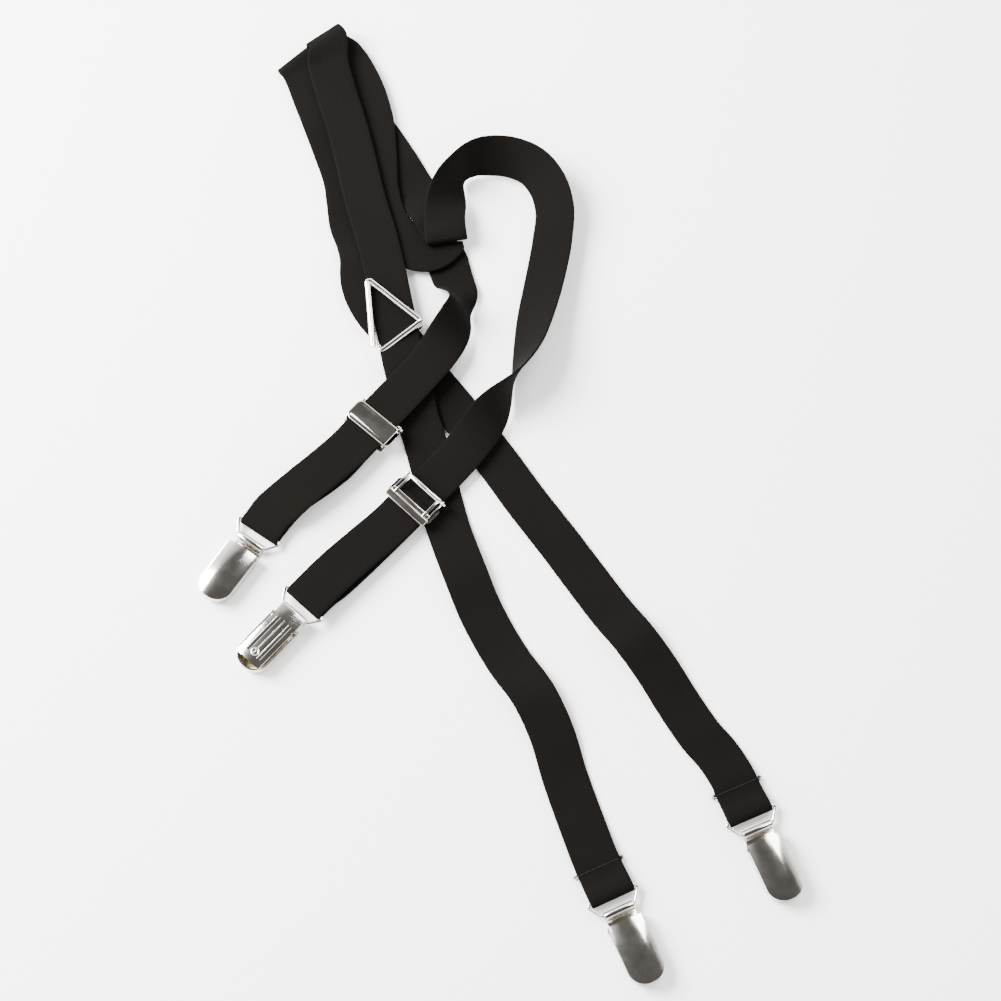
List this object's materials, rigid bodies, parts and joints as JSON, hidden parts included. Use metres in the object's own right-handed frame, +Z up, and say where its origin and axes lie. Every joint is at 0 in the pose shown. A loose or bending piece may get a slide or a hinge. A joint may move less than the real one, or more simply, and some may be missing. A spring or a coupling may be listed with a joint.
{
  "type": "suspenders",
  "caption": "Clip-on X-back suspenders of slim black elastic webbing with nickel clips, lever adjusters and a wire triangle at the back, laid folded.",
  "frame": {"origin": "centre of the bounding box's bottom face, on the surface that the object lies on", "axes": "+X right, +Y along the folded bundle away from the back clips, +Z up"},
  "size_m": [0.2624, 0.4677, 0.0208],
  "materials": {
    "webbing": "woven elastic, matt",
    "thread": "sewing thread",
    "nickel": "bright nickel plate on steel",
    "pad": "moulded plastic"
  },
  "bodies": {
    "webbing": {"left_strap_hem": "webbing", "left_strap_back_run": "webbing", "left_strap_crossing": "webbing", "left_strap_rising_run": "webbing", "left_strap_upper_fold": "webbing", "left_strap_falling_run": "webbing", "left_strap_corner_fold": "webbing", "left_strap_front_run": "webbing", "left_strap_adjuster_run": "webbing", "left_strap_front_leg": "webbing", "left_strap_bail_loop": "webbing", "left_strap_return_leg": "webbing", "left_strap_tail_end": "webbing", "right_strap_hem": "webbing", "right_strap_back_run": "webbing", "right_strap_crossing": "webbing", "right_strap_rising_run": "webbing", "right_strap_upper_fold": "webbing", "right_strap_falling_run": "webbing", "right_strap_lobe_fold": "webbing", "right_strap_loop": "webbing", "right_strap_twist": "webbing", "right_strap_adjuster_run": "webbing", "right_strap_front_leg": "webbing", "right_strap_bail_loop": "webbing", "right_strap_return_leg": "webbing", "right_strap_tail_end": "webbing", "left_back_hem_stitch": "thread", "right_back_hem_stitch": "thread"},
    "left_front_bail": {"left_front_bail": "nickel"},
    "left_front_clip": {"left_front_back_plate": "nickel", "left_front_hinge_pin": "nickel", "left_front_grip_pad": "pad", "left_front_eyelet": "nickel"},
    "left_front_lever": {"left_front_lever": "nickel"},
    "right_front_bail": {"right_front_bail": "nickel"},
    "right_front_clip": {"right_front_back_plate": "nickel", "right_front_hinge_pin": "nickel", "right_front_grip_pad": "pad", "right_front_eyelet": "nickel"},
    "right_front_lever": {"right_front_lever": "nickel"},
    "left_back_bail": {"left_back_bail": "nickel"},
    "left_back_clip": {"left_back_back_plate": "nickel", "left_back_hinge_pin": "nickel", "left_back_grip_pad": "pad", "left_back_eyelet": "nickel"},
    "left_back_lever": {"left_back_lever": "nickel"},
    "right_back_bail": {"right_back_bail": "nickel"},
    "right_back_clip": {"right_back_back_plate": "nickel", "right_back_hinge_pin": "nickel", "right_back_grip_pad": "pad", "right_back_eyelet": "nickel"},
    "right_back_lever": {"right_back_lever": "nickel"},
    "left_adjuster": {"left_adjuster_case": "nickel", "left_adjuster_pin": "nickel"},
    "left_lock": {"left_adjuster_lever": "nickel"},
    "right_adjuster": {"right_adjuster_case": "nickel", "right_adjuster_pin": "nickel"},
    "right_lock": {"right_adjuster_lever": "nickel"},
    "ring": {"back_ring": "nickel"}
  },
  "joints": [
    {"name": "left_front_bail_swing", "type": "hinge", "parent": "webbing", "child": "left_front_bail", "pos_m": [-0.10504, -0.03277, 0.0025], "axis": [0.829, -0.5592, 0], "range_deg": [-40, 40]},
    {"name": "left_front_clip_swing", "type": "hinge", "parent": "left_front_bail", "child": "left_front_clip", "pos_m": [-0.10923, -0.03899, 0.0025], "axis": [0.829, -0.5592, 0], "range_deg": [-60, 60]},
    {"name": "left_front_lever_open", "type": "hinge", "parent": "left_front_clip", "child": "left_front_lever", "pos_m": [-0.1127, -0.04413, 0.0038], "axis": [-0.829, 0.5592, 0], "range_deg": [0, 100]},
    {"name": "right_front_bail_swing", "type": "hinge", "parent": "webbing", "child": "right_front_bail", "pos_m": [-0.08304, -0.06777, 0.0049], "axis": [-0.7431, 0.6691, 0], "range_deg": [-40, 40]},
    {"name": "right_front_clip_swing", "type": "hinge", "parent": "right_front_bail", "child": "right_front_clip", "pos_m": [-0.08806, -0.07334, 0.0049], "axis": [-0.7431, 0.6691, 0], "range_deg": [-60, 60]},
    {"name": "right_front_lever_open", "type": "hinge", "parent": "right_front_clip", "child": "right_front_lever", "pos_m": [-0.09221, -0.07795, 0.0036], "axis": [0.7431, -0.6691, 0], "range_deg": [0, 100]},
    {"name": "left_back_bail_swing", "type": "hinge", "parent": "webbing", "child": "left_back_bail", "pos_m": [0.05096, -0.19577, 0.0025], "axis": [0.9135, 0.4067, 0], "range_deg": [-40, 40]},
    {"name": "left_back_clip_swing", "type": "hinge", "parent": "left_back_bail", "child": "left_back_clip", "pos_m": [0.05401, -0.20262, 0.0025], "axis": [0.9135, 0.4067, 0], "range_deg": [-60, 60]},
    {"name": "left_back_lever_open", "type": "hinge", "parent": "left_back_clip", "child": "left_back_lever", "pos_m": [0.05653, -0.20829, 0.0038], "axis": [-0.9135, -0.4067, 0], "range_deg": [0, 100]},
    {"name": "right_back_bail_swing", "type": "hinge", "parent": "webbing", "child": "right_back_bail", "pos_m": [0.11096, -0.16177, 0.0025], "axis": [0.9205, 0.3907, 0], "range_deg": [-40, 40]},
    {"name": "right_back_clip_swing", "type": "hinge", "parent": "right_back_bail", "child": "right_back_clip", "pos_m": [0.11389, -0.16867, 0.0025], "axis": [0.9205, 0.3907, 0], "range_deg": [-60, 60]},
    {"name": "right_back_lever_open", "type": "hinge", "parent": "right_back_clip", "child": "right_back_lever", "pos_m": [0.11631, -0.17438, 0.0038], "axis": [-0.9205, -0.3907, 0], "range_deg": [0, 100]},
    {"name": "left_adjuster_slide", "type": "slide", "parent": "webbing", "child": "left_adjuster", "axis": [-0.6561, -0.7547, 0], "range_m": [-0.001, 0.004]},
    {"name": "left_adjuster_lock", "type": "hinge", "parent": "left_adjuster", "child": "left_lock", "pos_m": [-0.05088, 0.02296, 0.0041], "axis": [0.7547, -0.6561, 0], "range_deg": [0, 65]},
    {"name": "right_adjuster_slide", "type": "slide", "parent": "webbing", "child": "right_adjuster", "axis": [-0.682, -0.7314, 0], "range_m": [-0.001, 0.004]},
    {"name": "right_adjuster_lock", "type": "hinge", "parent": "right_adjuster", "child": "right_lock", "pos_m": [-0.0304, -0.0143, 0.0061], "axis": [-0.7314, 0.682, 0], "range_deg": [0, 65]},
    {"name": "ring_slide", "type": "slide", "parent": "webbing", "child": "ring", "axis": [-0.2, 0.9798, 0], "range_m": [-0.003, 0.002]}
  ]
}
